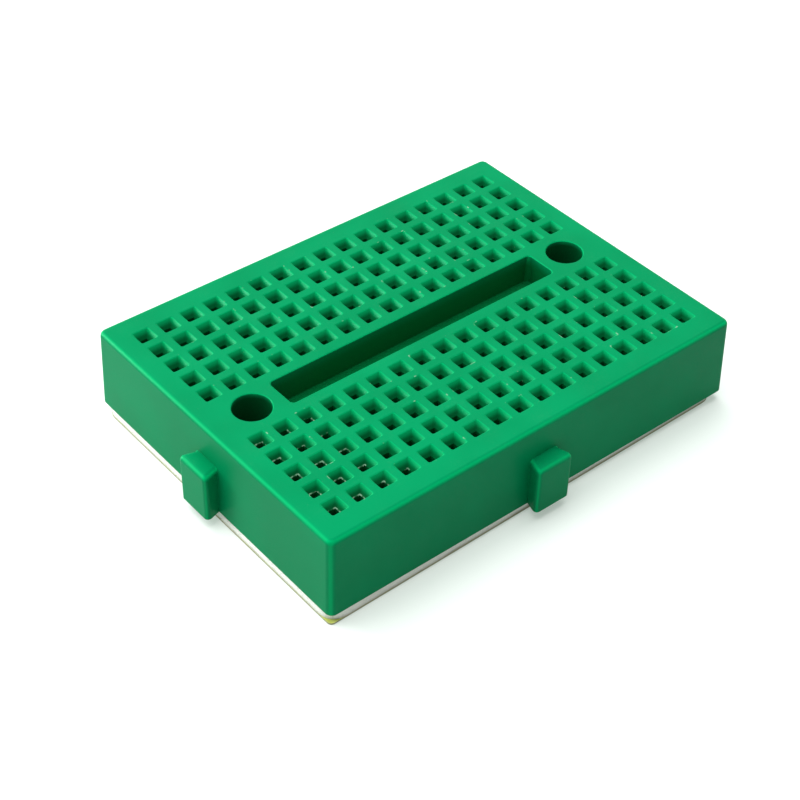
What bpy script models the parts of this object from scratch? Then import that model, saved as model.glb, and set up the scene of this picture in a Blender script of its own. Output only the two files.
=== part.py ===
"""Mini solderless breadboard: moulded housing, spring contact clips, foam tape and its release liner.

Metres, +Z up. The origin is on the surface that the board rests on, under the middle of the hole
pattern. +X runs along the long side, +Y away from the long side that carries a tab.
"""

import bpy
import bmesh
from math import radians

MM = 0.001

# Hole pattern
PITCH = 2.54 * MM
COLUMNS = 17
ROWS_PER_BANK = 5
BANK_SPACING = 7.62 * MM          # between the innermost rows of the two banks

# Housing
END_MARGIN = 3.23 * MM            # outermost column to the end wall, at the bottom
SIDE_MARGIN = 3.53 * MM           # outermost row to the side wall, at the bottom
HOUSING_HEIGHT = 8.25 * MM
DRAFT = 0.25 * MM                 # each wall leans in this much from bottom to top
EDGE_RADIUS = 0.5 * MM
ROOF_THICKNESS = 1.6 * MM         # over the clip slots

# Pin holes
MOUTH_WIDTH = 1.8 * MM
THROAT_WIDTH = 0.8 * MM
FUNNEL_DEPTH = 0.75 * MM

# Centre trench and screw holes
TRENCH_WIDTH = 3.5 * MM
TRENCH_DEPTH = 3.1 * MM
TRENCH_CORNER_RADIUS = 0.45 * MM
TRENCH_END_WALL = 1.25 * MM       # between the trench and each screw hole
SCREW_HEAD_DIAMETER = 3.6 * MM
SCREW_HEAD_DEPTH = 4.6 * MM
SCREW_SHANK_DIAMETER = 2.2 * MM
SCREW_INSET = 5.05 * MM           # screw hole's axis to the end wall, at the bottom
SCREW_HOLE_SIDES = 24

# Dovetail tabs, and the sockets that take a neighbouring board's tabs
TAB_DEPTH = 1.5 * MM
TAB_OUTER_WIDTH = 4.2 * MM
TAB_NECK_WIDTH = 3.3 * MM
TAB_HEIGHT = 5.0 * MM
TAB_EDGE_RADIUS = 0.4 * MM
TAB_ROOT = 0.8 * MM               # how far the tab's root is buried in the wall
SOCKET_CLEARANCE = 0.15 * MM

# Contact clips
SHEET_THICKNESS = 0.2 * MM
CLIP_WIDTH = 1.3 * MM
CLIP_CLEARANCE = 0.3 * MM         # to the slot's walls and roof, and to the foam
LEAF_WIDTH = 1.7 * MM
WEB_HEIGHT = 1.6 * MM
FLARE_HEIGHT = 0.9 * MM
PINCH_GAP = 0.2 * MM
FLARE_GAP = 0.62 * MM

# Foam tape and release liner
FOAM_THICKNESS = 0.75 * MM
FOAM_INSET = 0.25 * MM            # inside the housing's footprint, each side
FOAM_CORNER_RADIUS = 0.5 * MM
LINER_THICKNESS = 0.12 * MM
LINER_OVERHANG = 0.15 * MM        # outside the foam, each side
BOND_GAP = 0.1 * MM               # between housing and foam, and between foam and liner
TAPE_SKEW = radians(0.7)          # the tape is laid by hand, a little out of square

# How far a cutter runs past the face that it opens
OVERRUN = 0.5 * MM

# Flats along each rounded edge
BEND_STEPS = 3

# Faces that meet at a sharper angle than this keep a crisp edge between them
SHARP_ANGLE = radians(35)

# Sizes that follow
LENGTH = (COLUMNS - 1) * PITCH + 2 * END_MARGIN
WIDTH = BANK_SPACING + 2 * (ROWS_PER_BANK - 1) * PITCH + 2 * SIDE_MARGIN
HOUSING_BOTTOM = LINER_THICKNESS + FOAM_THICKNESS + 2 * BOND_GAP
HOUSING_TOP = HOUSING_BOTTOM + HOUSING_HEIGHT
SLOT_TOP = HOUSING_TOP - ROOF_THICKNESS
SLOT_WIDTH = CLIP_WIDTH + 2 * CLIP_CLEARANCE
CLIP_LENGTH = (ROWS_PER_BANK - 1) * PITCH + LEAF_WIDTH
SLOT_LENGTH = CLIP_LENGTH + 2 * CLIP_CLEARANCE
CLIP_BOTTOM = HOUSING_BOTTOM - BOND_GAP + CLIP_CLEARANCE
CLIP_TOP = SLOT_TOP - CLIP_CLEARANCE
SCREW_X = LENGTH / 2 - SCREW_INSET
TRENCH_LENGTH = 2 * (SCREW_X - SCREW_HEAD_DIAMETER / 2 - TRENCH_END_WALL)
FOAM_BOTTOM = LINER_THICKNESS + BOND_GAP


def column_x(column):
    """Middle of a column of holes, counted from the left."""
    return (column - (COLUMNS - 1) / 2) * PITCH


def row_y(bank, row):
    """Middle of a row of holes: bank is -1 in front and 1 behind, row 0 is next to the trench."""
    return bank * (BANK_SPACING / 2 + row * PITCH)


def bank_y(bank):
    """Middle of a bank's half columns."""
    return (row_y(bank, 0) + row_y(bank, ROWS_PER_BANK - 1)) / 2


def material(name, colour, roughness, metallic=0.0):
    made = bpy.data.materials.new(name)
    made.use_nodes = True
    shader = made.node_tree.nodes["Principled BSDF"]
    shader.inputs["Base Color"].default_value = (*colour, 1.0)
    shader.inputs["Roughness"].default_value = roughness
    shader.inputs["Metallic"].default_value = metallic
    made.diffuse_color = (*colour, 1.0)
    return made


def add_object(name, mesh, parent, finish=None):
    made = bpy.data.objects.new(name, mesh)
    bpy.context.scene.collection.objects.link(made)
    made.parent = parent
    if finish and not mesh.materials:
        mesh.materials.append(finish)
    return made


def mesh_from(bm, name):
    bmesh.ops.recalc_face_normals(bm, faces=bm.faces[:])
    mesh = bpy.data.meshes.new(name)
    bm.to_mesh(mesh)
    bm.free()
    mesh.shade_smooth()
    mesh.set_sharp_from_angle(angle=SHARP_ANGLE)
    return mesh


def add_box(bm, size, centre):
    corners = bmesh.ops.create_cube(bm, size=1.0)["verts"]
    bmesh.ops.scale(bm, vec=size, verts=corners)
    bmesh.ops.translate(bm, vec=centre, verts=corners)


def extrude_outline(bm, outline, bottom, height):
    """A prism on a plan outline."""
    floor = bm.faces.new([bm.verts.new((x, y, bottom)) for x, y in outline])
    raised = bmesh.ops.extrude_face_region(bm, geom=[floor])
    lifted = [item for item in raised["geom"] if isinstance(item, bmesh.types.BMVert)]
    bmesh.ops.translate(bm, vec=(0, 0, height), verts=lifted)


def round_edges(bm, edges, radius):
    bmesh.ops.bevel(bm, geom=edges, offset=radius, segments=BEND_STEPS, profile=0.5, affect="EDGES")


def upright_edges(bm):
    return [edge for edge in bm.edges if edge.verts[0].co.xy == edge.verts[1].co.xy]


# Housing --------------------------------------------------------------------------------------

def housing_block():
    """The plain block: drafted walls, rounded upright and top edges."""
    bm = bmesh.new()
    add_box(bm, (LENGTH, WIDTH, HOUSING_HEIGHT), (0, 0, HOUSING_BOTTOM + HOUSING_HEIGHT / 2))
    top = [vertex for vertex in bm.verts if vertex.co.z > HOUSING_BOTTOM + HOUSING_HEIGHT / 2]
    bmesh.ops.scale(bm, vec=(1 - 2 * DRAFT / LENGTH, 1 - 2 * DRAFT / WIDTH, 1), verts=top)
    rounded = [edge for edge in bm.edges if any(vertex in top for vertex in edge.verts)]
    round_edges(bm, rounded, EDGE_RADIUS)
    return mesh_from(bm, "housing")


def dovetail_outline(wall, neck, outer, depth, root):
    """Plan of a dovetail that stands out of a wall at x = wall, towards +X, with its root behind."""
    return [
        (wall - root, -neck / 2),
        (wall, -neck / 2),
        (wall + depth, -outer / 2),
        (wall + depth, outer / 2),
        (wall, neck / 2),
        (wall - root, neck / 2),
    ]


def tab(wall):
    """A tab for a wall at x = wall, standing out towards +X."""
    bm = bmesh.new()
    outline = dovetail_outline(wall, TAB_NECK_WIDTH, TAB_OUTER_WIDTH, TAB_DEPTH, TAB_ROOT)
    extrude_outline(bm, outline, HOUSING_BOTTOM, TAB_HEIGHT)
    face = wall + TAB_DEPTH - TAB_EDGE_RADIUS
    middle = HOUSING_BOTTOM + TAB_HEIGHT / 2
    outer_edges = [edge for edge in bm.edges
                   if min(vertex.co.x for vertex in edge.verts) > face
                   and max(vertex.co.z for vertex in edge.verts) > middle]
    round_edges(bm, outer_edges, TAB_EDGE_RADIUS)
    return mesh_from(bm, "tab")


def socket_cutter(wall):
    """The space that a neighbour's tab needs in a wall at x = wall, measured from inside the wall."""
    bm = bmesh.new()
    neck = TAB_NECK_WIDTH + 2 * SOCKET_CLEARANCE
    outer = TAB_OUTER_WIDTH + 2 * SOCKET_CLEARANCE
    depth = TAB_DEPTH + SOCKET_CLEARANCE
    outline = [(2 * wall - x, y) for x, y in dovetail_outline(wall, neck, outer, depth, OVERRUN)]
    height = OVERRUN + TAB_HEIGHT + SOCKET_CLEARANCE
    extrude_outline(bm, outline, HOUSING_BOTTOM - OVERRUN, height)
    return mesh_from(bm, "socket_cutter")


def slot_cutter():
    """The slots that hold the clips, one under each half column, open at the bottom."""
    bm = bmesh.new()
    height = SLOT_TOP - HOUSING_BOTTOM + OVERRUN
    for bank in (-1, 1):
        for column in range(COLUMNS):
            centre = (column_x(column), bank_y(bank), SLOT_TOP - height / 2)
            add_box(bm, (SLOT_WIDTH, SLOT_LENGTH, height), centre)
    return mesh_from(bm, "slot_cutter")


def pin_hole_cutter():
    """The pin holes: a square funnel that leads to a square throat over the slot."""
    bm = bmesh.new()
    mouth = MOUTH_WIDTH / 2
    throat = THROAT_WIDTH / 2
    levels = [
        (mouth, HOUSING_TOP + OVERRUN),
        (mouth, HOUSING_TOP),
        (throat, HOUSING_TOP - FUNNEL_DEPTH),
        (throat, SLOT_TOP - CLIP_CLEARANCE / 2),
    ]
    for bank in (-1, 1):
        for row in range(ROWS_PER_BANK):
            for column in range(COLUMNS):
                add_square_funnel(bm, column_x(column), row_y(bank, row), levels)
    return mesh_from(bm, "pin_hole_cutter")


def add_square_funnel(bm, x, y, levels):
    rings = [[bm.verts.new((x + sx * half, y + sy * half, z))
              for sx, sy in ((-1, -1), (1, -1), (1, 1), (-1, 1))] for half, z in levels]
    bm.faces.new(rings[0])
    bm.faces.new(rings[-1])
    for upper, lower in zip(rings, rings[1:]):
        for corner in range(4):
            following = (corner + 1) % 4
            bm.faces.new((upper[corner], upper[following], lower[following], lower[corner]))


def trench_cutter():
    bm = bmesh.new()
    height = TRENCH_DEPTH + OVERRUN
    middle = HOUSING_TOP - TRENCH_DEPTH + height / 2
    add_box(bm, (TRENCH_LENGTH, TRENCH_WIDTH, height), (0, 0, middle))
    round_edges(bm, upright_edges(bm), TRENCH_CORNER_RADIUS)
    return mesh_from(bm, "trench_cutter")


def screw_hole_cutter():
    """Both screw holes: a round well for the head, stepping down to the shank's hole."""
    bm = bmesh.new()
    head = SCREW_HEAD_DIAMETER / 2
    shank = SCREW_SHANK_DIAMETER / 2
    step = HOUSING_TOP - SCREW_HEAD_DEPTH
    profile = [
        (head, HOUSING_TOP + OVERRUN),
        (head, step),
        (shank, step),
        (shank, HOUSING_BOTTOM - OVERRUN),
    ]
    for side in (-1, 1):
        turned = [bm.verts.new((side * SCREW_X + radius, 0, z)) for radius, z in profile]
        line = [bm.edges.new(pair) for pair in zip(turned, turned[1:])]
        bmesh.ops.spin(bm, geom=turned + line, cent=(side * SCREW_X, 0, 0), axis=(0, 0, 1),
                       angle=radians(360), steps=SCREW_HOLE_SIDES, use_merge=True)
    bmesh.ops.holes_fill(bm, edges=[edge for edge in bm.edges if edge.is_boundary])
    return mesh_from(bm, "screw_hole_cutter")


def add_cutter(name, mesh, parent, turn=0.0):
    made = add_object(name, mesh, parent)
    made.rotation_euler.z = turn
    made.hide_render = True
    made.display_type = "WIRE"
    return made


def combine(body, tool, operation):
    made = body.modifiers.new(tool.name, "BOOLEAN")
    made.operation = operation
    made.object = tool
    made.solver = "EXACT"


def make_housing(parent):
    green = material("moulded_green", (0.004, 0.42, 0.15), 0.38)
    housing = add_object("housing", housing_block(), parent, green)
    half_turn = radians(180)
    quarter_turn = radians(90)
    left_tab = add_cutter("left_tab", tab(LENGTH / 2), parent, half_turn)
    front_tab = add_cutter("front_tab", tab(WIDTH / 2), parent, -quarter_turn)
    right_socket = add_cutter("right_socket", socket_cutter(LENGTH / 2), parent)
    rear_socket = add_cutter("rear_socket", socket_cutter(WIDTH / 2), parent, quarter_turn)
    slots = add_cutter("slots", slot_cutter(), parent)
    pin_holes = add_cutter("pin_holes", pin_hole_cutter(), parent)
    trench = add_cutter("trench", trench_cutter(), parent)
    screw_holes = add_cutter("screw_holes", screw_hole_cutter(), parent)
    for added in (left_tab, front_tab):
        combine(housing, added, "UNION")
    for cut in (right_socket, rear_socket, slots, pin_holes, trench, screw_holes):
        combine(housing, cut, "DIFFERENCE")


# Contact clips --------------------------------------------------------------------------------

def clip_mesh():
    """A clip's sheet, without thickness: a channel with five pairs of leaves that lean together.

    It is centred on its half column, and its underside is at z = 0.
    """
    bm = bmesh.new()
    half_sheet = SHEET_THICKNESS / 2
    height = CLIP_TOP - CLIP_BOTTOM
    channel = CLIP_WIDTH / 2 - half_sheet
    half_length = CLIP_LENGTH / 2
    leaf_middles = [row_y(1, row) - bank_y(1) for row in range(ROWS_PER_BANK)]
    leaf_ends = [(middle - LEAF_WIDTH / 2, middle + LEAF_WIDTH / 2) for middle in leaf_middles]
    folds = {}
    for side in (-1, 1):
        profile = [
            (side * channel, WEB_HEIGHT),
            (side * (PINCH_GAP / 2 + half_sheet), height - FLARE_HEIGHT),
            (side * (FLARE_GAP / 2 + half_sheet), height - half_sheet),
        ]
        folds[side] = [bm.verts.new((side * channel, y, half_sheet)) for y in (-half_length, half_length)]
        web_top = []
        for start, end in leaf_ends:
            lines = [[bm.verts.new((x, y, z)) for y in (start, end)] for x, z in profile]
            for lower, upper in zip(lines, lines[1:]):
                bm.faces.new((lower[0], lower[1], upper[1], upper[0]))
            web_top += lines[0]
        bm.faces.new(folds[side] + web_top[::-1])
    bm.faces.new((folds[-1][0], folds[-1][1], folds[1][1], folds[1][0]))
    return mesh_from(bm, "contact_clip")


def make_clips(parent):
    plated = material("plated_spring_sheet", (0.72, 0.70, 0.66), 0.25, 1.0)
    sheet = clip_mesh()
    for bank, place in ((-1, "front"), (1, "rear")):
        for column in range(COLUMNS):
            clip = add_object(f"contact_clip_{place}_{column + 1:02d}", sheet, parent, plated)
            clip.location = (column_x(column), bank_y(bank), CLIP_BOTTOM)
            thicken = clip.modifiers.new("sheet_thickness", "SOLIDIFY")
            thicken.thickness = SHEET_THICKNESS
            thicken.offset = 0.0
            thicken.use_even_offset = True


# Foam tape and liner --------------------------------------------------------------------------

def flat_sheet(name, length, width, thickness, corner_radius):
    """A flat rectangular sheet, centred on its own origin, with its underside at z = 0."""
    bm = bmesh.new()
    add_box(bm, (length, width, thickness), (0, 0, thickness / 2))
    if corner_radius:
        round_edges(bm, upright_edges(bm), corner_radius)
    return mesh_from(bm, name)


def make_tape(parent):
    white = material("white_foam", (0.86, 0.87, 0.82), 0.9)
    paper = material("liner_paper", (0.78, 0.72, 0.30), 0.55)
    foam_length = LENGTH - 2 * FOAM_INSET
    foam_width = WIDTH - 2 * FOAM_INSET
    foam_mesh = flat_sheet("foam_pad", foam_length, foam_width, FOAM_THICKNESS, FOAM_CORNER_RADIUS)
    foam = add_object("foam_pad", foam_mesh, parent, white)
    foam.location.z = FOAM_BOTTOM
    liner_length = foam_length + 2 * LINER_OVERHANG
    liner_width = foam_width + 2 * LINER_OVERHANG
    liner_mesh = flat_sheet("release_liner", liner_length, liner_width, LINER_THICKNESS, 0)
    liner = add_object("release_liner", liner_mesh, parent, paper)
    for piece in (foam, liner):
        piece.rotation_euler.z = TAPE_SKEW


def main():
    for old in list(bpy.data.objects):
        bpy.data.objects.remove(old, do_unlink=True)
    board = bpy.data.objects.new("breadboard", None)
    bpy.context.scene.collection.objects.link(board)
    make_housing(board)
    make_clips(board)
    make_tape(board)


main()
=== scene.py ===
"""Looks of the mini solderless breadboard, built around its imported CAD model."""

from math import acos, cos, radians, sin, tan

import bmesh
import bpy
from mathutils import Matrix, Vector


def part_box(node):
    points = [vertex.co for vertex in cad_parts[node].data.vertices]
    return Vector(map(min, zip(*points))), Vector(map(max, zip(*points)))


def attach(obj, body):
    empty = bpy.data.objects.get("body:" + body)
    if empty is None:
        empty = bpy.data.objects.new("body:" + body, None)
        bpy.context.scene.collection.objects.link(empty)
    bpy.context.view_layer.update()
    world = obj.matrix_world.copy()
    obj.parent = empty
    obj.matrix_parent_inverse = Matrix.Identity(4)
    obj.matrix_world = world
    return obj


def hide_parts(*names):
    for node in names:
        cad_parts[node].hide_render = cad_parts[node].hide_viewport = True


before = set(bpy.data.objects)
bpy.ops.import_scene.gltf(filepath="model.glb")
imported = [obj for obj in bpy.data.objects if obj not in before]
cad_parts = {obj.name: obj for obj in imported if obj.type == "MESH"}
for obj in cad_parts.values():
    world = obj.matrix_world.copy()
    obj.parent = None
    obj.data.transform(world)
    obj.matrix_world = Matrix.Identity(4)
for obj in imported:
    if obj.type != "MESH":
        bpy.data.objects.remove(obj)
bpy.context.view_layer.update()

MM = 0.001
HAIR = 0.01 * MM                  # tells two levels apart, and keeps two faces off each other
COLUMNS = 17
ROWS = 5
FRONT, REAR = -1, 1
LEFT, RIGHT = -1, 1

# The housing as the frame gives it. Its tabs stand out to the left and to the front only.
housing_low, housing_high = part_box("housing")
clip_low, clip_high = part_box("contact_clip_front_01")
END_X = housing_high.x
SIDE_Y = housing_high.y
FOOT_Z = housing_low.z
TOP_Z = housing_high.z
TAB_DEPTH = -END_X - housing_low.x

# Sizes of the moulding
PITCH = 2.54 * MM
BANK_SPACING = 7.62 * MM          # between the inner rows of the two banks
DRAFT = 0.25 * MM                 # how far each wall leans in over its height
EDGE_RADIUS = 0.5 * MM            # along the top
UPRIGHT_RADIUS = 0.68 * MM        # at the four upright edges
ROOF_THICKNESS = 1.6 * MM         # over the slots
MOUTH = 0.87 * MM                 # half the width of a pin hole's mouth
MOUTH_RIM = 0.15 * MM             # radius
THROAT = 0.37 * MM                # half the width of its throat
THROAT_RIM = 0.09 * MM            # radius
THROAT_CORNER = 0.05 * MM
FUNNEL_DEPTH = 0.8 * MM
TRENCH_X = 15.45 * MM             # half the trench's length
TRENCH_Y = 1.75 * MM              # half its width
TRENCH_DEPTH = 3.1 * MM
TRENCH_CORNER = 0.4 * MM
TRENCH_FILLET = 0.15 * MM         # round its floor
WELL_RIM = 0.12 * MM              # radius round the trench and round the screw holes
SCREW_X = 18.5 * MM
SCREW_HEAD_RADIUS = 1.8 * MM
SCREW_HEAD_DEPTH = 4.6 * MM
SCREW_SHANK_RADIUS = 1.1 * MM
TAB_OUTER = 4.2 * MM
TAB_NECK = 3.3 * MM
TAB_HEIGHT = 5.0 * MM
TAB_ROOT = 0.8 * MM               # how far a tab reaches into the wall that carries it
TAB_ROUNDING = 0.55 * MM
SOCKET_CLEARANCE = 0.15 * MM
SLOT_CLEARANCE = 0.3 * MM
OVERRUN = 0.5 * MM                # how far a cutter runs past the face that it opens
LEAD = 0.3 * MM                   # how far a cutter's profile goes on past its last rounded corner

# Sizes of a contact clip, bent from one strip of sheet
SHEET = 0.2 * MM
FOLD_RADIUS = 0.25 * MM
FOLD_TURNS = (0, 30, 60, 90)      # degrees
LEAF = 1.7 * MM                   # width
LEAF_STEPS = 7                    # from its root to the pinch
WEB_HEIGHT = 1.6 * MM
FLARE_HEIGHT = 0.9 * MM
FLARE_STEPS = 4
FLARE_CURVE = 1.6                 # 1 would make the flare straight
PINCH = 0.2 * MM                  # from the middle to a leaf where the pair comes closest
FLARE = 0.41 * MM                 # from the middle to a leaf's tip

# How the tape lies under the housing
TAPE_INSET = 0.06 * MM            # inside the left side, and inside the front side at its left end
TAPE_SLANT = 0.45 * MM            # how far its front edge falls back towards the right end
TAPE_SHORT = 0.5 * MM             # inside the right and rear sides
FOAM_CORNER = 1.5 * MM
FOAM_CLEARANCE = 0.03 * MM        # from the foam up to the housing
FOAM_INSET = 0.6 * MM             # width of the ring of faces inside its cut edge
FOAM_PINCH = 0.06 * MM            # how much narrower it is halfway down its cut edge
FOAM_RIPPLE = 0.05 * MM
FOAM_RIPPLE_LENGTH = 1.3 * MM
LINER_CORNER = 0.45 * MM          # at the front left only
LINER_TOP = 0.18 * MM             # height of its upper side

# Colours of the plastic, with painted shade in its pin holes and trench and a painted highlight on its
# rounded edges
GREEN_DEEP = (0.0, 0.19, 0.065)
GREEN_LIGHT = (0.0, 0.216, 0.076)
# painted highlight on the rounded edges
GREEN_EDGE_HIGHLIGHT = (0.0, 0.33, 0.105)
# painted shade deep in the pin holes and in the trench
GREEN_HOLE_SHADE = (0.0, 0.085, 0.022)
GREEN_TRENCH_SHADE = (0.0, 0.14, 0.035)
GREEN_SCRATCH = (0.15, 0.4, 0.25)
GREEN_NICK = (0.4, 0.55, 0.44)
# painted glints on the throat lips
GREEN_LIP_GLINT = (0.40, 0.68, 0.48)
DUST = (0.35, 0.45, 0.38)
GLOSS = 0.11                      # low and green, so that a white room doesn't veil the colour
GLOSS_TINT = (0.1, 1.0, 0.8, 1)

# Scratches, on any finish that has them
SCRATCH_SCALE = 0.04              # of the noise's coordinates along a scratch, which makes it long
SCRATCH_PATCH = 3 * MM            # size of the patches in which they come and go
SCRATCH_RARITY = 0.78
SCRATCH_SOFTNESS = 0.08

# Pale nicks where the plastic is worn round the mouths, and painted glints on the throat lips, which are
# most at the left end of the front bank
WEAR_PATCH = 0.9 * MM             # size of the patches in which the wear and the painted glints come and go
NICK_RARITY = (0.66, 0.72)        # the noise at which nicks begin and are full
NICK_SOFTNESS = 0.03 * MM
NICK_REACH = 0.09 * MM            # outwards from a mouth
NICK_DEPTH = 0.1 * MM             # down from the top
LIP_RARITY = (0.98, 1.12)
LIP_BAND = (0.03 * MM, 0.11 * MM)     # above and below a lip, where its painted glint is full and where it ends
LIP_REACH = (0.08 * MM, 0.14 * MM)    # outwards from a throat, likewise
LIP_MIDDLE = (0.05 * MM, 0.2 * MM)    # along a lip, whose painted glint is fainter near the middle of its side
MOST_GLINTS_X = (-20 * MM, -8 * MM)
MOST_GLINTS_Y = (-4 * MM, 0)

# Where shade and a highlight are painted on the plastic
OUTER_BORDER = 1.5 * MM           # the painted shade stays this far inside the outer walls
TRENCH_BORDER = 0.4 * MM          # the trench's own painted shade reaches this far past its ends
HOLE_SHADE = (0.6 * MM, 0.04 * MM)    # depths at which the painted shade is full and begins
TRENCH_SHADE = (1.2 * MM, 0.1 * MM)
EDGE_FACING = (0.75, 0.98)        # largest part of the normal where the painted highlight is full, on a rounded edge, and where it has gone, on a flat

# Colours of the other finishes
NICKEL_DULL = (0.62, 0.59, 0.53)
NICKEL_BRIGHT = (0.80, 0.79, 0.76)
FOAM_CREAM = (0.84, 0.90, 0.80)
FOAM_WHITE = (0.92, 0.95, 0.88)
FOAM_PORE = (0.55, 0.6, 0.5)
# painted shade along the foot of the foam
FOAM_FOOT_SHADE = (0.30, 0.31, 0.24)
FOAM_FOOT_SHADE_LEVELS = (0.2 * MM, 0.5 * MM)  # heights at which the painted shade is full and has gone
FOAM_GLOSS = 0.25
LINER_DEEP = (0.40, 0.47, 0.06)
LINER_LIGHT = (0.48, 0.54, 0.10)
LINER_FIBRE = (0.8, 0.8, 0.4)
# the drab cut edge, darkened further as painted shade of the gap under the foam
LINER_EDGE_AND_SHADE = (0.36, 0.36, 0.22)

# Camera, floor and light
CAMERA_AZIMUTH = -0.7053          # radians, as are the next two
CAMERA_ELEVATION = 0.7120
CAMERA_ROLL = 0.0265
CAMERA_TARGET = (-7.7304 * MM, -7.3628 * MM, TOP_Z)
CAMERA_DISTANCE = 149.58 * MM
CAMERA_LENS = 77.674
CAMERA_SHIFT = (-0.0036, 0.0008)
FLOOR_SIZE = 6
FLOOR_DROP = 0.02 * MM            # so that the liner doesn't touch it
FLOOR_BOUNCE = (0.5, 0.5, 0.5)    # its colour as light bounces off it on to the board
FLOOR_SEEN = (0.55, 0.57, 0.56)   # as the camera sees it, with the glow added
FLOOR_GLOW = (0.29, 0.34, 0.305)
FLOOR_GLOSS = (0.38, 0.5, 0.46)   # as reflections see it
ROOM_LIGHT = 0.4
SWEEP_LIGHT = 1.0
LAMP_STRENGTH = 5.1
LAMP_SPREAD = 75                  # degrees
LAMP_PLACE = (-0.1, 0.35, 0.9)
FILL_STRENGTH = 0.13
FILL_PLACE = (-0.10, 0.12, 0.04)
FILL_SIZE = 0.04


# Modelling steps ------------------------------------------------------------------------------

def deselect():
    if bpy.context.mode != "OBJECT":
        bpy.ops.object.mode_set(mode="OBJECT")
    bpy.ops.object.select_all(action="DESELECT")


def choose(obj):
    deselect()
    obj.select_set(True)
    bpy.context.view_layer.objects.active = obj


def settle(obj):
    """Puts the object's place, turn and scale into its mesh."""
    choose(obj)
    bpy.ops.object.transform_apply(location=True, rotation=True, scale=True)


def select_parts(obj, kind, test):
    """In edit mode, selects the vertices, edges or faces that pass the test."""
    bpy.ops.mesh.select_mode(type={"verts": "VERT", "edges": "EDGE", "faces": "FACE"}[kind])
    bpy.ops.mesh.select_all(action="DESELECT")
    mesh = bmesh.from_edit_mesh(obj.data)
    for part in getattr(mesh, kind):
        part.select_set(test(part))
    mesh.select_flush_mode()
    bmesh.update_edit_mesh(obj.data)


def heights(edge):
    """The heights of an edge's lower and upper ends."""
    return sorted(vertex.co.z for vertex in edge.verts)


def apply_modifier(obj, kind, **settings):
    modifier = obj.modifiers.new(kind.lower(), kind)
    for name, value in settings.items():
        setattr(modifier, name, value)
    choose(obj)
    bpy.ops.object.modifier_apply(modifier=modifier.name)


def cut(obj, cutter, operation="DIFFERENCE"):
    apply_modifier(obj, "BOOLEAN", operation=operation, object=cutter, solver="EXACT")
    bpy.data.objects.remove(cutter, do_unlink=True)


def repeat(obj, count, step):
    apply_modifier(obj, "ARRAY", count=count, use_relative_offset=False, use_constant_offset=True,
                   constant_offset_displace=step)


def smooth(obj, angle=40):
    choose(obj)
    bpy.ops.object.shade_smooth_by_angle(angle=radians(angle))


def flat_outline(name, place, width, depth, corner=0.0, corner_steps=1, sides=4):
    """A flat face to start from: a rectangle with rounded corners, or a circle with many sides."""
    deselect()
    if sides == 4:
        bpy.ops.mesh.primitive_plane_add(size=1, location=place)
    else:
        bpy.ops.mesh.primitive_circle_add(vertices=sides, radius=0.5, fill_type="NGON", location=place)
    obj = bpy.context.object
    obj.name = name
    obj.scale = (width, depth, 1)
    settle(obj)
    if corner:
        bpy.ops.object.mode_set(mode="EDIT")
        bpy.ops.mesh.select_all(action="SELECT")
        bpy.ops.mesh.bevel(offset=corner, segments=corner_steps, affect="VERTICES")
        bpy.ops.object.mode_set(mode="OBJECT")
    return obj


def loft(obj, centre, levels):
    """Carries a flat face through levels of (width, depth, z) by extruding and scaling it."""
    choose(obj)
    bpy.ops.object.mode_set(mode="EDIT")
    bpy.ops.mesh.select_all(action="SELECT")
    for (width, depth, z), (next_width, next_depth, next_z) in zip(levels, levels[1:]):
        bpy.ops.mesh.extrude_region_move(TRANSFORM_OT_translate={"value": (0, 0, next_z - z)})
        bpy.ops.transform.resize(value=(next_width / width, next_depth / depth, 1),
                                 center_override=(centre[0], centre[1], next_z))
    bpy.ops.mesh.select_all(action="SELECT")
    bpy.ops.mesh.normals_make_consistent(inside=False)
    bpy.ops.object.mode_set(mode="OBJECT")
    return obj


def rounded_profile(corners, steps=3):
    """Points along a profile of (offset, z, radius), with an arc at each corner that has a radius."""
    points = []
    for i, (offset, z, radius) in enumerate(corners):
        here = Vector((offset, z))
        if not radius:
            points.append(here)
            continue
        back = (Vector(corners[i - 1][:2]) - here).normalized()
        ahead = (Vector(corners[i + 1][:2]) - here).normalized()
        half_angle = acos(max(-1.0, min(1.0, back.dot(ahead)))) / 2
        centre = here + (back + ahead).normalized() * radius / sin(half_angle)
        start = here + back * radius / tan(half_angle) - centre
        end = here + ahead * radius / tan(half_angle) - centre
        for step in range(steps + 1):
            share = step / steps
            swing = start.lerp(end, share).normalized() * radius
            points.append(centre + swing)
    return points


# Housing --------------------------------------------------------------------------------------

def model_block():
    """The plain moulding: walls with a draft, rounded upright and top edges."""
    deselect()
    middle = (FOOT_Z + TOP_Z) / 2
    bpy.ops.mesh.primitive_cube_add(size=1, location=(0, 0, middle),
                                    scale=(2 * END_X, 2 * SIDE_Y, TOP_Z - FOOT_Z))
    block = bpy.context.object
    block.name = "housing_shell"
    settle(block)
    bpy.ops.object.mode_set(mode="EDIT")
    select_parts(block, "faces", lambda face: face.normal.z > 0.5)
    lean = (1 - DRAFT / END_X, 1 - DRAFT / SIDE_Y, 1)
    bpy.ops.transform.resize(value=lean, center_override=(0, 0, TOP_Z))
    select_parts(block, "edges", lambda edge: heights(edge)[0] < middle < heights(edge)[1])
    bpy.ops.mesh.bevel(offset=UPRIGHT_RADIUS, segments=6, affect="EDGES")
    select_parts(block, "edges", lambda edge: heights(edge)[0] > middle)
    bpy.ops.mesh.bevel(offset=EDGE_RADIUS, segments=6, affect="EDGES")
    bpy.ops.object.mode_set(mode="OBJECT")
    return block


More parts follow.
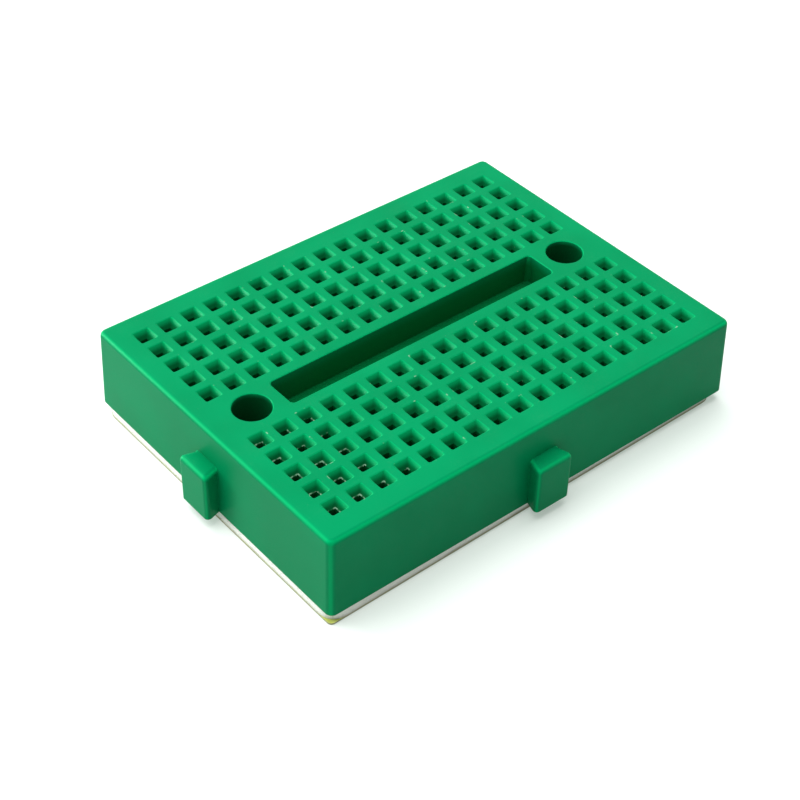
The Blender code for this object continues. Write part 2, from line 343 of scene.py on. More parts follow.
def model_dovetail(name, neck, outer, depth, root, low, high, rounding):
    """A dovetail on the wall x = END_X, wider away from its root, rounded along its outer edges."""
    deselect()
    length = depth + root
    bpy.ops.mesh.primitive_cube_add(size=1, location=(END_X + (depth - root) / 2, 0, (low + high) / 2),
                                    scale=(length, outer, high - low))
    tail = bpy.context.object
    tail.name = name
    settle(tail)
    bpy.ops.object.mode_set(mode="EDIT")
    bpy.ops.mesh.select_all(action="SELECT")
    bpy.ops.mesh.bisect(plane_co=(END_X, 0, 0), plane_no=(1, 0, 0))
    select_parts(tail, "verts", lambda vertex: vertex.co.x < END_X + depth / 2)
    bpy.ops.transform.resize(value=(1, neck / outer, 1), center_override=(END_X, 0, 0))
    if rounding:
        face = END_X + depth - HAIR

        def stands_out(edge):
            lowest, highest = heights(edge)
            nearest, furthest = sorted(vertex.co.x for vertex in edge.verts)
            round_the_face = nearest > face and highest > low + HAIR
            along_the_top = lowest > high - HAIR and furthest > face
            return round_the_face or along_the_top

        select_parts(tail, "edges", stands_out)
        bpy.ops.mesh.bevel(offset=rounding, segments=5, affect="EDGES")
    bpy.ops.object.mode_set(mode="OBJECT")
    return tail


def turn(obj, degrees):
    """Turns a finished piece about the board's middle."""
    obj.data.transform(Matrix.Rotation(radians(degrees), 4, "Z"))
    return obj


def shift(obj, x=0.0, y=0.0):
    obj.data.transform(Matrix.Translation((x, y, 0)))
    return obj


def pin_hole_cutter(bank):
    """One bank of pin holes: a funnel with a rounded mouth and a rounded lip over its throat."""
    roof = TOP_Z - ROOF_THICKNESS
    profile = rounded_profile([
        (THROAT, roof - OVERRUN, 0),
        (THROAT, TOP_Z - FUNNEL_DEPTH, THROAT_RIM),
        (MOUTH, TOP_Z, MOUTH_RIM),
        (MOUTH + LEAD, TOP_Z, 0),
    ])[:-1]
    levels = [(2 * half, 2 * half, z) for half, z in profile]
    levels.append((*levels[-1][:2], TOP_Z + OVERRUN))
    first_row = 0 if bank == REAR else ROWS - 1
    place = (-(COLUMNS - 1) / 2 * PITCH, bank * (BANK_SPACING / 2 + first_row * PITCH), levels[0][2])
    hole = flat_outline("pin_holes", place, 2 * THROAT, 2 * THROAT, corner=THROAT_CORNER)
    loft(hole, place, levels)
    repeat(hole, COLUMNS, (PITCH, 0, 0))
    repeat(hole, ROWS, (0, PITCH, 0))
    return hole


def slot_cutter(bank):
    """One bank of the slots that hold the clips, open at the bottom."""
    low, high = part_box("contact_clip_front_01" if bank == FRONT else "contact_clip_rear_01")
    width = high.x - low.x + 2 * SLOT_CLEARANCE
    length = high.y - low.y + 2 * SLOT_CLEARANCE
    place = ((low.x + high.x) / 2, (low.y + high.y) / 2, FOOT_Z - OVERRUN)
    slot = flat_outline("slots", place, width, length)
    loft(slot, place, [(width, length, place[2]), (width, length, TOP_Z - ROOF_THICKNESS)])
    repeat(slot, COLUMNS, (PITCH, 0, 0))
    return slot


def trench_cutter():
    """The trench: round corners, a small radius round its floor and a rounded rim."""
    profile = rounded_profile([
        (-LEAD, TOP_Z - TRENCH_DEPTH, 0),
        (0, TOP_Z - TRENCH_DEPTH, TRENCH_FILLET),
        (0, TOP_Z, WELL_RIM),
        (LEAD, TOP_Z, 0),
    ])[1:-1]
    levels = [(2 * (TRENCH_X + out), 2 * (TRENCH_Y + out), z) for out, z in profile]
    levels.append((*levels[-1][:2], TOP_Z + OVERRUN))
    place = (0, 0, levels[0][2])
    trench = flat_outline("trench", place, *levels[0][:2], corner=TRENCH_CORNER, corner_steps=5)
    return loft(trench, place, levels)


def screw_hole_cutter(end):
    """A screw hole: the shank's hole, a seat for the head and a round well with a rounded rim."""
    seat = TOP_Z - SCREW_HEAD_DEPTH
    profile = rounded_profile([
        (SCREW_SHANK_RADIUS, FOOT_Z - OVERRUN, 0),
        (SCREW_SHANK_RADIUS, seat, 0),
        (SCREW_HEAD_RADIUS, seat, 0),
        (SCREW_HEAD_RADIUS, TOP_Z, WELL_RIM),
        (SCREW_HEAD_RADIUS + LEAD, TOP_Z, 0),
    ])[:-1]
    levels = [(2 * radius, 2 * radius, z) for radius, z in profile]
    levels.append((*levels[-1][:2], TOP_Z + OVERRUN))
    place = (end * SCREW_X, 0, levels[0][2])
    hole = flat_outline("screw_hole", place, *levels[0][:2], sides=64)
    return loft(hole, place, levels)


def model_housing():
    block = model_block()
    tab_foot = FOOT_Z + HAIR          # off the block's foot, so that the join leaves no double faces
    tab_sizes = (TAB_NECK, TAB_OUTER, TAB_DEPTH, TAB_ROOT, tab_foot, FOOT_Z + TAB_HEIGHT, TAB_ROUNDING)
    cut(block, turn(model_dovetail("left_tab", *tab_sizes), 180), "UNION")
    front_tab = turn(model_dovetail("front_tab", *tab_sizes), -90)
    cut(block, shift(front_tab, y=END_X - SIDE_Y), "UNION")
    grown = 2 * SOCKET_CLEARANCE
    depth = TAB_DEPTH + SOCKET_CLEARANCE
    socket_sizes = (TAB_NECK + grown, TAB_OUTER + grown, depth, OVERRUN,
                    FOOT_Z - OVERRUN, FOOT_Z + TAB_HEIGHT + SOCKET_CLEARANCE, 0)
    right_socket = turn(model_dovetail("right_socket", *socket_sizes), 180)
    cut(block, shift(right_socket, x=2 * END_X))
    rear_socket = turn(model_dovetail("rear_socket", *socket_sizes), -90)
    cut(block, shift(rear_socket, y=END_X + SIDE_Y))
    for bank, end in ((FRONT, LEFT), (REAR, RIGHT)):
        cut(block, slot_cutter(bank))
        cut(block, pin_hole_cutter(bank))
        cut(block, screw_hole_cutter(end))
    cut(block, trench_cutter())
    smooth(block)
    apply_modifier(block, "WEIGHTED_NORMAL", keep_sharp=True, weight=100, thresh=0.01)
    return block


# Contact clips --------------------------------------------------------------------------------

def extrude_along(points):
    """Carries the selected edges on through (x, z) points."""
    for (x, z), (next_x, next_z) in zip(points, points[1:]):
        bpy.ops.mesh.extrude_region_move(TRANSFORM_OT_translate={"value": (next_x - x, 0, next_z - z)})


def leaf_profile(web_x, low, high):
    """A leaf leans in smoothly to the pinch, then flares out to let a pin in."""
    root = low + WEB_HEIGHT
    pinch = high - FLARE_HEIGHT
    points = []
    for step in range(LEAF_STEPS + 1):
        share = step / LEAF_STEPS
        ease = share * share * (3 - 2 * share)
        points.append((web_x + (PINCH - web_x) * ease, root + (pinch - root) * share))
    rise = high - SHEET / 2 - pinch
    for step in range(1, FLARE_STEPS + 1):
        share = step / FLARE_STEPS
        points.append((PINCH + (FLARE - PINCH) * share ** FLARE_CURVE, pinch + rise * share))
    return points


def model_clip():
    """The clip under the front bank's first half column: a folded strip with five pairs of leaves."""
    low, high = clip_low, clip_high
    middle_x, middle_y = (low.x + high.x) / 2, (low.y + high.y) / 2
    web_x = (high.x - low.x - SHEET) / 2
    floor_z = low.z + SHEET / 2
    half_length = (high.y - low.y) / 2
    flat = web_x - FOLD_RADIUS
    deselect()
    bpy.ops.mesh.primitive_plane_add(size=1, location=(flat / 2, 0, floor_z))
    clip = bpy.context.object
    clip.name = "spring_clip"
    clip.scale = (flat, 2 * half_length, 1)
    settle(clip)
    leaf_middles = [(row - (ROWS - 1) / 2) * PITCH for row in range(ROWS)]
    bpy.ops.object.mode_set(mode="EDIT")
    for leaf in leaf_middles:
        for end in (leaf - LEAF / 2, leaf + LEAF / 2):
            if abs(end) < half_length - SHEET:
                bpy.ops.mesh.select_all(action="SELECT")
                bpy.ops.mesh.bisect(plane_co=(0, end, 0), plane_no=(0, 1, 0))
    select_parts(clip, "edges", lambda edge: min(v.co.x for v in edge.verts) > flat - SHEET / 4)
    fold = []
    for turn_so_far in FOLD_TURNS:
        angle = radians(turn_so_far)
        fold.append((flat + FOLD_RADIUS * sin(angle), floor_z + FOLD_RADIUS * (1 - cos(angle))))
    extrude_along(fold + [(web_x, low.z + WEB_HEIGHT)])
    web_top = low.z + WEB_HEIGHT - SHEET / 4

    def carries_leaf(edge):
        first, second = (vertex.co for vertex in edge.verts)
        across = (first.y + second.y) / 2
        return (min(first.z, second.z) > web_top and first.y != second.y
                and any(abs(across - leaf) < LEAF / 4 for leaf in leaf_middles))

    select_parts(clip, "edges", carries_leaf)
    extrude_along(leaf_profile(web_x, low.z, high.z))
    select_parts(clip, "verts", lambda vertex: vertex.co.z > high.z - SHEET)
    bpy.ops.mesh.bevel(offset=LEAF / 5, segments=3, affect="VERTICES")
    bpy.ops.object.mode_set(mode="OBJECT")
    apply_modifier(clip, "MIRROR", use_axis=(True, False, False), use_mirror_merge=True,
                   merge_threshold=MM / 1000)
    bpy.ops.object.mode_set(mode="EDIT")
    bpy.ops.mesh.select_all(action="SELECT")
    bpy.ops.mesh.normals_make_consistent(inside=False)
    bpy.ops.object.mode_set(mode="OBJECT")
    apply_modifier(clip, "SOLIDIFY", thickness=SHEET, offset=0.0, use_even_offset=True)
    smooth(clip, 50)
    return shift(clip, middle_x, middle_y)


def place_clips(clip, finish):
    """A copy of the clip with its own mesh in each half column."""
    dress(clip, finish)
    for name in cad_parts:
        if not name.startswith("contact_clip"):
            continue
        low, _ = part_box(name)
        copied = bpy.data.objects.new(name.replace("contact", "spring"), clip.data.copy())
        bpy.context.scene.collection.objects.link(copied)
        shift(copied, low.x - clip_low.x, low.y - clip_low.y)
        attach(copied, "board")
        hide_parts(name)
    bpy.data.objects.remove(clip, do_unlink=True)


# Foam tape and liner --------------------------------------------------------------------------

def tape_outline(name, z, grown):
    """The tape's outline, cut by hand: close to the left side, and out of square along the front."""
    left, right = -END_X + TAPE_INSET - grown, END_X - TAPE_SHORT + grown
    front, rear = -SIDE_Y + TAPE_INSET - grown, SIDE_Y - TAPE_SHORT + grown
    middle = ((left + right) / 2, (front + rear) / 2, z)
    outline = flat_outline(name, middle, right - left, rear - front)
    bpy.ops.object.mode_set(mode="EDIT")
    select_parts(outline, "verts", lambda vertex: vertex.co.x > 0 and vertex.co.y < 0)
    bpy.ops.transform.translate(value=(0, TAPE_SLANT, 0))
    bpy.ops.object.mode_set(mode="OBJECT")
    return outline


def model_foam():
    """The foam tape: its corners are rounded off, and its cut edge wanders a little."""
    bottom, top = LINER_TOP + HAIR, FOOT_Z - FOAM_CLEARANCE
    foam = tape_outline("foam_tape", bottom, 0)
    bpy.ops.object.mode_set(mode="EDIT")
    bpy.ops.mesh.select_all(action="SELECT")
    bpy.ops.mesh.bevel(offset=FOAM_CORNER, segments=6, affect="VERTICES")
    select_parts(foam, "edges", lambda edge: edge.calc_length() > FOAM_CORNER)
    bpy.ops.mesh.subdivide(number_cuts=70)
    bpy.ops.mesh.select_all(action="SELECT")
    bpy.ops.mesh.inset(thickness=FOAM_INSET, depth=0)
    bpy.ops.object.mode_set(mode="OBJECT")
    length, width = foam.dimensions.xy
    pinches = (0, 0.5, 1, 1, 0.6, 0)
    rise = (top - bottom) / (len(pinches) - 1)
    loft(foam, (0, 0), [(length - FOAM_PINCH * share, width - FOAM_PINCH * share, bottom + step * rise)
                        for step, share in enumerate(pinches)])
    ripple = bpy.data.textures.new("cut_edge", "CLOUDS")
    ripple.noise_scale = FOAM_RIPPLE_LENGTH
    apply_modifier(foam, "DISPLACE", texture=ripple, texture_coords="LOCAL", strength=FOAM_RIPPLE,
                   mid_level=0.5)
    smooth(foam, 45)
    return foam


def model_liner():
    """The release liner: thin paper, a hair wider than the foam and less rounded at its front left."""
    underside = HAIR
    liner = tape_outline("liner_sheet", underside, HAIR)
    bpy.ops.object.mode_set(mode="EDIT")
    select_parts(liner, "verts", lambda vertex: vertex.co.x < 0 and vertex.co.y < 0)
    bpy.ops.mesh.bevel(offset=LINER_CORNER, segments=5, affect="VERTICES")
    select_parts(liner, "verts", lambda vertex: vertex.co.x > 0 or vertex.co.y > 0)
    bpy.ops.mesh.bevel(offset=FOAM_CORNER, segments=6, affect="VERTICES")
    bpy.ops.mesh.select_all(action="SELECT")
    bpy.ops.mesh.extrude_region_move(TRANSFORM_OT_translate={"value": (0, 0, LINER_TOP - underside)})
    bpy.ops.mesh.select_all(action="SELECT")
    bpy.ops.mesh.normals_make_consistent(inside=False)
    bpy.ops.object.mode_set(mode="OBJECT")
    smooth(liner, 30)
    return liner


# Materials ------------------------------------------------------------------------------------

def new_group(name, inputs, outputs):
    """A node group with named inputs (label, type, value) and outputs (label, type)."""
    group = bpy.data.node_groups.new(name, "ShaderNodeTree")
    for label, kind, value in inputs:
        socket = group.interface.new_socket(name=label, in_out="INPUT", socket_type="NodeSocket" + kind)
        if value is not None:
            socket.default_value = value
    for label, kind in outputs:
        group.interface.new_socket(name=label, in_out="OUTPUT", socket_type="NodeSocket" + kind)
    return group, group.nodes.new("NodeGroupInput").outputs, group.nodes.new("NodeGroupOutput").inputs


def feed(tree, socket, value):
    """Links an output into a socket, or sets the socket to a plain value."""
    if isinstance(value, bpy.types.NodeSocket):
        tree.links.new(value, socket)
    else:
        socket.default_value = value


def calc(tree, operation, *values):
    node = tree.nodes.new("ShaderNodeMath")
    node.operation = operation
    for socket, value in zip(node.inputs, values):
        feed(tree, socket, value)
    return node.outputs[0]


def spread(tree, value, low, high, to_low, to_high):
    """Maps low..high to to_low..to_high, softly and without running past either end."""
    node = tree.nodes.new("ShaderNodeMapRange")
    node.interpolation_type = "SMOOTHSTEP"
    for label, amount in zip(("Value", "From Min", "From Max", "To Min", "To Max"),
                             (value, low, high, to_low, to_high)):
        feed(tree, node.inputs[label], amount)
    return node.outputs["Result"]


def noise(tree, where, scale, detail=2.0, roughness=0.5):
    node = tree.nodes.new("ShaderNodeTexNoise")
    settings = {"Vector": where, "Scale": scale, "Detail": detail, "Roughness": roughness}
    for label, amount in settings.items():
        feed(tree, node.inputs[label], amount)
    return node.outputs["Fac"]


def tint(tree, amount, first, second):
    """Mixes two colours."""
    node = tree.nodes.new("ShaderNodeMix")
    node.data_type = "RGBA"
    feed(tree, node.inputs[0], amount)
    for socket, colour in zip(node.inputs[6:8], (first, second)):
        feed(tree, socket, colour if isinstance(colour, bpy.types.NodeSocket) else (*colour, 1))
    return node.outputs[2]


def stretched(tree, where, scale):
    node = tree.nodes.new("ShaderNodeMapping")
    feed(tree, node.inputs["Vector"], where)
    node.inputs["Scale"].default_value = scale
    return node.outputs["Vector"]


def split(tree, where):
    node = tree.nodes.new("ShaderNodeSeparateXYZ")
    feed(tree, node.inputs[0], where)
    return node.outputs


def build_grain():
    """Fine all-over texture: a broad drift, a fine grain, and the roughness that goes with them."""
    group, given, result = new_group("surface_grain", [
        ("Vector", "Vector", None),
        ("Grain Size", "Float", 0.1 * MM),
        ("Drift Size", "Float", 6 * MM),
        ("Smooth", "Float", 0.3),
        ("Rough", "Float", 0.4),
    ], [("Drift", "Float"), ("Roughness", "Float"), ("Height", "Float")])
    grain = noise(group, given["Vector"], calc(group, "DIVIDE", 1.0, given["Grain Size"]), 3.0, 0.6)
    drift = noise(group, given["Vector"], calc(group, "DIVIDE", 1.0, given["Drift Size"]), 2.0, 0.5)
    mixed = calc(group, "MULTIPLY_ADD", grain, 0.6, calc(group, "MULTIPLY", drift, 0.4))
    feed(group, result["Drift"], drift)
    feed(group, result["Roughness"], spread(group, mixed, 0.3, 0.7, given["Smooth"], given["Rough"]))
    feed(group, result["Height"], grain)
    return group


def build_scratches():
    """Hair scratches along one direction, broken up so that they come and go."""
    group, given, result = new_group("hair_scratches", [
        ("Vector", "Vector", None),
        ("Width", "Float", 0.03 * MM),
        ("Coverage", "Float", 0.3),
    ], [("Mask", "Float"), ("Height", "Float")])
    along = stretched(group, given["Vector"], (1, SCRATCH_SCALE, 1))
    lines = noise(group, along, calc(group, "DIVIDE", 1.0, given["Width"]), 2.0, 0.7)
    patches = noise(group, given["Vector"], 1 / SCRATCH_PATCH, 1.0, 0.5)
    sparse = calc(group, "SUBTRACT", SCRATCH_RARITY, calc(group, "MULTIPLY", given["Coverage"], patches))
    mask = spread(group, lines, sparse, calc(group, "ADD", sparse, SCRATCH_SOFTNESS), 0.0, 1.0)
    feed(group, result["Mask"], mask)
    feed(group, result["Height"], calc(group, "MULTIPLY", mask, -1.0))
    return group


def build_specks():
    """Scattered small specks, such as dust or pores."""
    group, given, result = new_group("specks", [
        ("Vector", "Vector", None),
        ("Spacing", "Float", 0.6 * MM),
        ("Size", "Float", 0.2),
    ], [("Mask", "Float")])
    cells = group.nodes.new("ShaderNodeTexVoronoi")
    feed(group, cells.inputs["Vector"], given["Vector"])
    feed(group, cells.inputs["Scale"], calc(group, "DIVIDE", 1.0, given["Spacing"]))
    edge = calc(group, "MULTIPLY", given["Size"], 0.5)
    feed(group, result["Mask"], spread(group, cells.outputs["Distance"], edge, given["Size"], 1.0, 0.0))
    return group


def build_pin_wear_and_glints():
    """Pale nicks where pins have worn the mouths, and painted glints on the lips over the throats."""
    group, given, result = new_group("pin_wear_and_glints", [("Vector", "Vector", None)],
                                     [("Nicks", "Float"), ("Lip Glints", "Float")])
    x, y, z = split(group, given["Vector"])
    column = calc(group, "FRACT", calc(group, "MULTIPLY_ADD", x, 1 / PITCH, COLUMNS + 0.5))
    row = calc(group, "FRACT", calc(group, "MULTIPLY_ADD", y, 1 / PITCH, COLUMNS))
    off_x = calc(group, "ABSOLUTE", calc(group, "SUBTRACT", column, 0.5))
    off_y = calc(group, "ABSOLUTE", calc(group, "SUBTRACT", row, 0.5))
    out = calc(group, "MULTIPLY", calc(group, "MAXIMUM", off_x, off_y), PITCH)
    along = calc(group, "MULTIPLY", calc(group, "MINIMUM", off_x, off_y), PITCH)
    sideways = calc(group, "ABSOLUTE", y)
    last_row = BANK_SPACING / 2 + (ROWS - 0.5) * PITCH
    in_columns = calc(group, "LESS_THAN", calc(group, "ABSOLUTE", x), COLUMNS / 2 * PITCH)
    in_rows = calc(group, "MULTIPLY", calc(group, "GREATER_THAN", sideways, PITCH),
                   calc(group, "LESS_THAN", sideways, last_row))
    inside = calc(group, "MULTIPLY", in_columns, in_rows)
    chance = noise(group, given["Vector"], 1 / WEAR_PATCH, 2.0, 0.6)
    at_mouth = calc(group, "MULTIPLY", spread(group, out, MOUTH - NICK_SOFTNESS, MOUTH, 0, 1),
                    spread(group, out, MOUTH + NICK_SOFTNESS, MOUTH + NICK_REACH, 1, 0))
    near_top = calc(group, "GREATER_THAN", z, TOP_Z - NICK_DEPTH)
    nicks = calc(group, "MULTIPLY", calc(group, "MULTIPLY", at_mouth, near_top),
                 spread(group, chance, *NICK_RARITY, 0, 1))
    depth = calc(group, "ABSOLUTE", calc(group, "SUBTRACT", z, TOP_Z - FUNNEL_DEPTH))
    at_lip = calc(group, "MULTIPLY", spread(group, depth, *LIP_BAND, 1, 0),
                  spread(group, out, *(THROAT + reach for reach in LIP_REACH), 1, 0))
    # the painted glints on the lips are most at the left end of the front bank
    most_glints = calc(group, "MULTIPLY", spread(group, x, *MOST_GLINTS_X, 0.56, 0.30),
                     spread(group, y, *MOST_GLINTS_Y, 1, 0.4))
    glint_chance = spread(group, calc(group, "ADD", chance, most_glints), *LIP_RARITY, 0, 1)
    off_middle = spread(group, along, *LIP_MIDDLE, 0.2, 1)
    lip_glints = calc(group, "MULTIPLY", at_lip, calc(group, "MULTIPLY", glint_chance, off_middle))
    feed(group, result["Nicks"], calc(group, "MULTIPLY", nicks, inside))
    feed(group, result["Lip Glints"], calc(group, "MULTIPLY", lip_glints, inside))
    return group


GRAIN = build_grain()
SCRATCHES = build_scratches()
SPECKS = build_specks()
PIN_WEAR_AND_GLINTS = build_pin_wear_and_glints()


def new_material(name):
    """A material with its tree, its shader, and the coordinates of the piece that it is on."""
    made = bpy.data.materials.new(name)
    made.use_nodes = True
    tree = made.node_tree
    where = tree.nodes.new("ShaderNodeTexCoord").outputs["Object"]
    return made, tree, tree.nodes["Principled BSDF"].inputs, where


def place(tree, group, **values):
    """Puts a shared group into a material; underscores stand for the spaces in its labels."""
    node = tree.nodes.new("ShaderNodeGroup")
    node.node_tree = group
    for label, value in values.items():
        feed(tree, node.inputs[label.replace("_", " ")], value)
    return node.outputs


def bump(tree, height, depth, normal=None):
    node = tree.nodes.new("ShaderNodeBump")
    node.inputs["Strength"].default_value = 1.0
    node.inputs["Distance"].default_value = depth
    feed(tree, node.inputs["Height"], height)
    if normal:
        feed(tree, node.inputs["Normal"], normal)
    return node.outputs["Normal"]


def painted_hollow_shade(tree, where):
    """Painted shade in a pin hole or in the trench, by how far down: from 0 on the top and the outer walls
    to 1.
    """
    x, y, z = split(tree, where)
    endways, sideways = calc(tree, "ABSOLUTE", x), calc(tree, "ABSOLUTE", y)
    within_x = calc(tree, "LESS_THAN", endways, END_X - OUTER_BORDER)
    within_y = calc(tree, "LESS_THAN", sideways, SIDE_Y - OUTER_BORDER)
    past_trench = calc(tree, "MAXIMUM", calc(tree, "GREATER_THAN", sideways, PITCH),
                       calc(tree, "GREATER_THAN", endways, TRENCH_X + TRENCH_BORDER))
    in_trench = calc(tree, "SUBTRACT", 1.0, past_trench)
    hole_shade = spread(tree, z, *(TOP_Z - depth for depth in HOLE_SHADE), 1, 0)
    trench_shade = spread(tree, z, *(TOP_Z - depth for depth in TRENCH_SHADE), 1, 0)
    hole = calc(tree, "MULTIPLY", hole_shade, past_trench)
    trench = calc(tree, "MULTIPLY", trench_shade, in_trench)
    inside = calc(tree, "MULTIPLY", within_x, within_y)
    return calc(tree, "MULTIPLY", hole, inside), calc(tree, "MULTIPLY", trench, inside)


def edge_highlight(tree, facing):
    """Where a highlight is painted: 1 where the surface faces halfway between two sides, as on a rounded
    edge, 0 on the flats.
    """
    x, y, z = (calc(tree, "ABSOLUTE", part) for part in split(tree, facing))
    most = calc(tree, "MAXIMUM", x, calc(tree, "MAXIMUM", y, z))
    return spread(tree, most, *EDGE_FACING, 1, 0)


def moulded_green():
    """Satin moulded plastic with faint flow marks, hair scratches, dust and nicked pin mouths; with
    painted shade in the holes and trench, a painted highlight on rounded edges and painted glints on the
    throat lips.
    """
    made, tree, shader, where = new_material("moulded_green")
    grain = place(tree, GRAIN, Vector=where, Grain_Size=0.07 * MM, Drift_Size=7 * MM,
                  Smooth=0.30, Rough=0.42)
    scratches = place(tree, SCRATCHES, Vector=where, Width=0.02 * MM, Coverage=0.35)
    wear_and_glints = place(tree, PIN_WEAR_AND_GLINTS, Vector=where)
    dust = place(tree, SPECKS, Vector=where, Spacing=1.1 * MM, Size=0.03)
    body = tint(tree, spread(tree, grain["Drift"], 0.3, 0.7, 0, 1), GREEN_DEEP, GREEN_LIGHT)
    facing = tree.nodes.new("ShaderNodeTexCoord").outputs["Normal"]
    # a painted highlight on the rounded edges
    body = tint(tree, edge_highlight(tree, facing), body, GREEN_EDGE_HIGHLIGHT)
    # painted shade deep in the pin holes and in the trench
    hole, trench = painted_hollow_shade(tree, where)
    body = tint(tree, trench, tint(tree, hole, body, GREEN_HOLE_SHADE), GREEN_TRENCH_SHADE)
    body = tint(tree, calc(tree, "MULTIPLY", scratches["Mask"], 0.05), body, GREEN_SCRATCH)
    body = tint(tree, calc(tree, "MULTIPLY", dust["Mask"], 0.25), body, DUST)
    body = tint(tree, calc(tree, "MULTIPLY", wear_and_glints["Nicks"], 0.4), body, GREEN_NICK)
    # painted glints on the throat lips
    body = tint(tree, calc(tree, "MULTIPLY", wear_and_glints["Lip Glints"], 0.7), body, GREEN_LIP_GLINT)
    feed(tree, shader["Base Color"], body)
    scuffed = calc(tree, "MULTIPLY_ADD", scratches["Mask"], 0.08, grain["Roughness"])
    feed(tree, shader["Roughness"], scuffed)
    shader["Specular IOR Level"].default_value = GLOSS
    shader["Specular Tint"].default_value = GLOSS_TINT
    fine = bump(tree, grain["Height"], 0.0015 * MM)
    feed(tree, shader["Normal"], bump(tree, scratches["Height"], 0.001 * MM, fine))
    return made


def plated_spring_sheet():
    """Bright nickel plate over rolled strip: brushed along its length."""
    made, tree, shader, where = new_material("plated_spring_sheet")
    grain = place(tree, GRAIN, Vector=where, Grain_Size=0.05 * MM, Drift_Size=1.5 * MM,
                  Smooth=0.2, Rough=0.34)
    rolled = place(tree, SCRATCHES, Vector=where, Width=0.015 * MM, Coverage=0.8)
    feed(tree, shader["Base Color"], tint(tree, grain["Drift"], NICKEL_DULL, NICKEL_BRIGHT))
    scuffed = calc(tree, "MULTIPLY_ADD", rolled["Mask"], 0.12, grain["Roughness"])
    feed(tree, shader["Roughness"], scuffed)
    shader["Metallic"].default_value = 1.0
    feed(tree, shader["Normal"], bump(tree, rolled["Height"], 0.002 * MM))
    return made


def white_foam():
    """Closed-cell foam: chalky, with small pores, and painted shade along its foot."""
    made, tree, shader, where = new_material("white_foam")
    grain = place(tree, GRAIN, Vector=where, Grain_Size=0.12 * MM, Drift_Size=3 * MM,
                  Smooth=0.8, Rough=0.95)
    pores = place(tree, SPECKS, Vector=where, Spacing=0.22 * MM, Size=0.35)
    body = tint(tree, grain["Drift"], FOAM_CREAM, FOAM_WHITE)
    body = tint(tree, calc(tree, "MULTIPLY", pores["Mask"], 0.3), body, FOAM_PORE)
    height = split(tree, where)[2]
    # painted shade along the foam's foot
    foot_shade = calc(tree, "MULTIPLY", spread(tree, height, *FOAM_FOOT_SHADE_LEVELS, 1, 0), grain["Drift"])
    body = tint(tree, foot_shade, body, FOAM_FOOT_SHADE)
    feed(tree, shader["Base Color"], body)
    feed(tree, shader["Roughness"], grain["Roughness"])
    shader["Specular IOR Level"].default_value = FOAM_GLOSS
    sunk = calc(tree, "MULTIPLY_ADD", pores["Mask"], -1.0, calc(tree, "MULTIPLY", grain["Height"], 0.4))
    feed(tree, shader["Normal"], bump(tree, sunk, 0.03 * MM))
    return made


def liner_paper():
    """Yellow coated paper; its cut edge is drab, and darker still as painted shade of the gap under the
    foam.
    """
    made, tree, shader, where = new_material("liner_paper")
    grain = place(tree, GRAIN, Vector=where, Grain_Size=0.2 * MM, Drift_Size=4 * MM,
                  Smooth=0.42, Rough=0.6)
    fibres = place(tree, SCRATCHES, Vector=where, Width=0.05 * MM, Coverage=0.7)
    facing = split(tree, tree.nodes.new("ShaderNodeNewGeometry").outputs["Normal"])[2]
    flat = spread(tree, calc(tree, "ABSOLUTE", facing), 0.4, 0.6, 0, 1)
    sheet = tint(tree, grain["Drift"], LINER_DEEP, LINER_LIGHT)
    sheet = tint(tree, calc(tree, "MULTIPLY", fibres["Mask"], 0.2), sheet, LINER_FIBRE)
    # the cut edge is drab, darkened further as painted shade of the gap under the foam
    feed(tree, shader["Base Color"], tint(tree, flat, LINER_EDGE_AND_SHADE, sheet))
    feed(tree, shader["Roughness"], grain["Roughness"])
    feed(tree, shader["Normal"], bump(tree, grain["Height"], 0.004 * MM))
    return made


def dress(obj, finish):
    obj.data.materials.clear()
    obj.data.materials.append(finish)


# Scene ----------------------------------------------------------------------------------------

def make_floor():
    """A pale sheet, a little overexposed where the camera looks straight at it."""
    deselect()
    bpy.ops.mesh.primitive_plane_add(size=FLOOR_SIZE, location=(0, 0, -FLOOR_DROP))
    floor = bpy.context.object
    floor.name = "floor"
    paint = bpy.data.materials.new("pale_floor")
    paint.use_nodes = True
    tree = paint.node_tree
    path = tree.nodes.new("ShaderNodeLightPath")
    matt = tree.nodes.new("ShaderNodeBsdfDiffuse")
    shown = tint(tree, path.outputs["Is Camera Ray"], FLOOR_BOUNCE, FLOOR_SEEN)
    shown = tint(tree, path.outputs["Is Glossy Ray"], shown, FLOOR_GLOSS)
    feed(tree, matt.inputs["Color"], shown)
    glow = tree.nodes.new("ShaderNodeEmission")
    feed(tree, glow.inputs["Color"], tint(tree, path.outputs["Is Camera Ray"], (0, 0, 0), FLOOR_GLOW))
    both = tree.nodes.new("ShaderNodeAddShader")
    tree.links.new(matt.outputs["BSDF"], both.inputs[0])
    tree.links.new(glow.outputs["Emission"], both.inputs[1])
    tree.links.new(both.outputs["Shader"], tree.nodes["Material Output"].inputs["Surface"])
    floor.data.materials.append(paint)


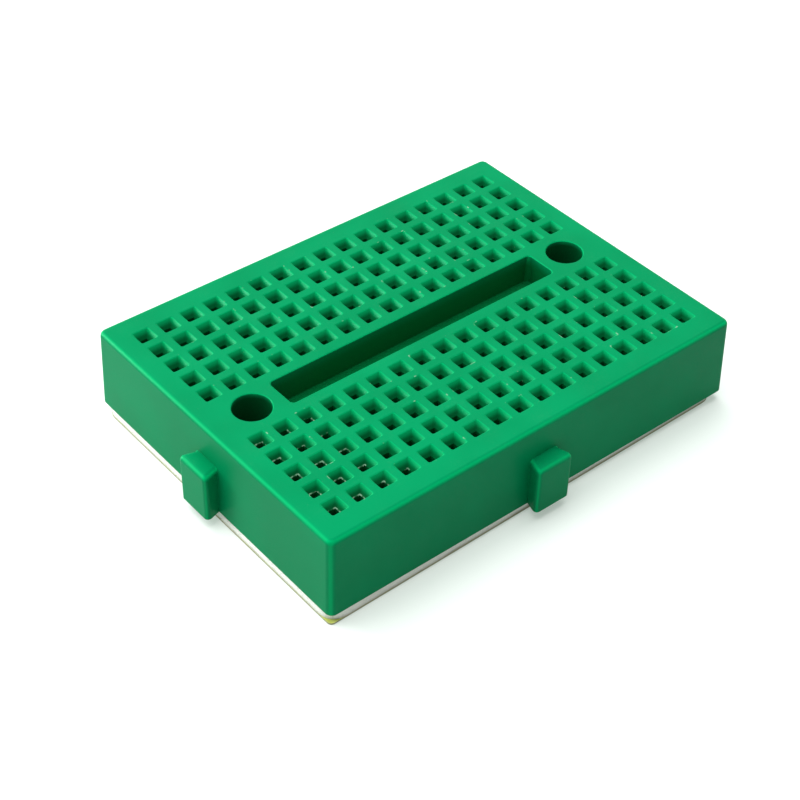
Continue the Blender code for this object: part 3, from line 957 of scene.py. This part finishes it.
def make_camera():
    """Looks down on the front left corner, from a little way off."""
    level = cos(CAMERA_ELEVATION)
    back = Vector((sin(CAMERA_AZIMUTH) * level, -cos(CAMERA_AZIMUTH) * level, sin(CAMERA_ELEVATION)))
    right = (-back).cross(Vector((0, 0, 1))).normalized()
    up = right.cross(-back)
    turned_right = cos(CAMERA_ROLL) * right + sin(CAMERA_ROLL) * up
    turned_up = -sin(CAMERA_ROLL) * right + cos(CAMERA_ROLL) * up
    camera = bpy.data.objects.new("camera", bpy.data.cameras.new("camera"))
    bpy.context.scene.collection.objects.link(camera)
    camera.matrix_world = Matrix((
        (turned_right.x, turned_up.x, back.x, 0),
        (turned_right.y, turned_up.y, back.y, 0),
        (turned_right.z, turned_up.z, back.z, 0),
        (0, 0, 0, 1),
    ))
    camera.location = Vector(CAMERA_TARGET) + back * CAMERA_DISTANCE
    camera.data.sensor_width = 36
    camera.data.lens = CAMERA_LENS
    camera.data.shift_x, camera.data.shift_y = CAMERA_SHIFT
    camera.data.clip_start = 0.005
    camera.data.clip_end = 50
    bpy.context.scene.camera = camera


def add_lamp(name, kind, strength, place):
    """A lamp that shines from the given place towards the board."""
    lamp = bpy.data.lights.new(name, kind)
    lamp.energy = strength
    holder = bpy.data.objects.new(name, lamp)
    bpy.context.scene.collection.objects.link(holder)
    holder.rotation_euler = Vector(place).to_track_quat("Z", "Y").to_euler()
    return holder


def make_lights():
    """A white sweep for the camera, a dim room for all else, a soft overhead lamp and a small side one."""
    world = bpy.data.worlds.new("studio")
    bpy.context.scene.world = world
    world.use_nodes = True
    nodes, links = world.node_tree.nodes, world.node_tree.links
    room = nodes["Background"]
    room.inputs["Color"].default_value = (1, 1, 1, 1)
    room.inputs["Strength"].default_value = ROOM_LIGHT
    sweep = nodes.new("ShaderNodeBackground")
    sweep.inputs["Color"].default_value = (1, 1, 1, 1)
    sweep.inputs["Strength"].default_value = SWEEP_LIGHT
    path = nodes.new("ShaderNodeLightPath")
    choice = nodes.new("ShaderNodeMixShader")
    links.new(path.outputs["Is Camera Ray"], choice.inputs["Fac"])
    links.new(room.outputs["Background"], choice.inputs[1])
    links.new(sweep.outputs["Background"], choice.inputs[2])
    links.new(choice.outputs["Shader"], nodes["World Output"].inputs["Surface"])
    overhead = add_lamp("overhead", "SUN", LAMP_STRENGTH, LAMP_PLACE)
    overhead.data.angle = radians(LAMP_SPREAD)
    overhead.visible_glossy = False   # so large a lamp would veil the whole top
    side_fill = add_lamp("side_fill", "AREA", FILL_STRENGTH, FILL_PLACE)
    side_fill.data.size = FILL_SIZE
    side_fill.location = FILL_PLACE
    bpy.context.scene.view_settings.view_transform = "Standard"


make_camera()
make_floor()
make_lights()

housing = model_housing()
dress(housing, moulded_green())
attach(housing, "board")
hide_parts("housing")

place_clips(model_clip(), plated_spring_sheet())

foam = model_foam()
dress(foam, white_foam())
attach(foam, "board")
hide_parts("foam_pad")

liner = model_liner()
dress(liner, liner_paper())
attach(liner, "liner")
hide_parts("release_liner")
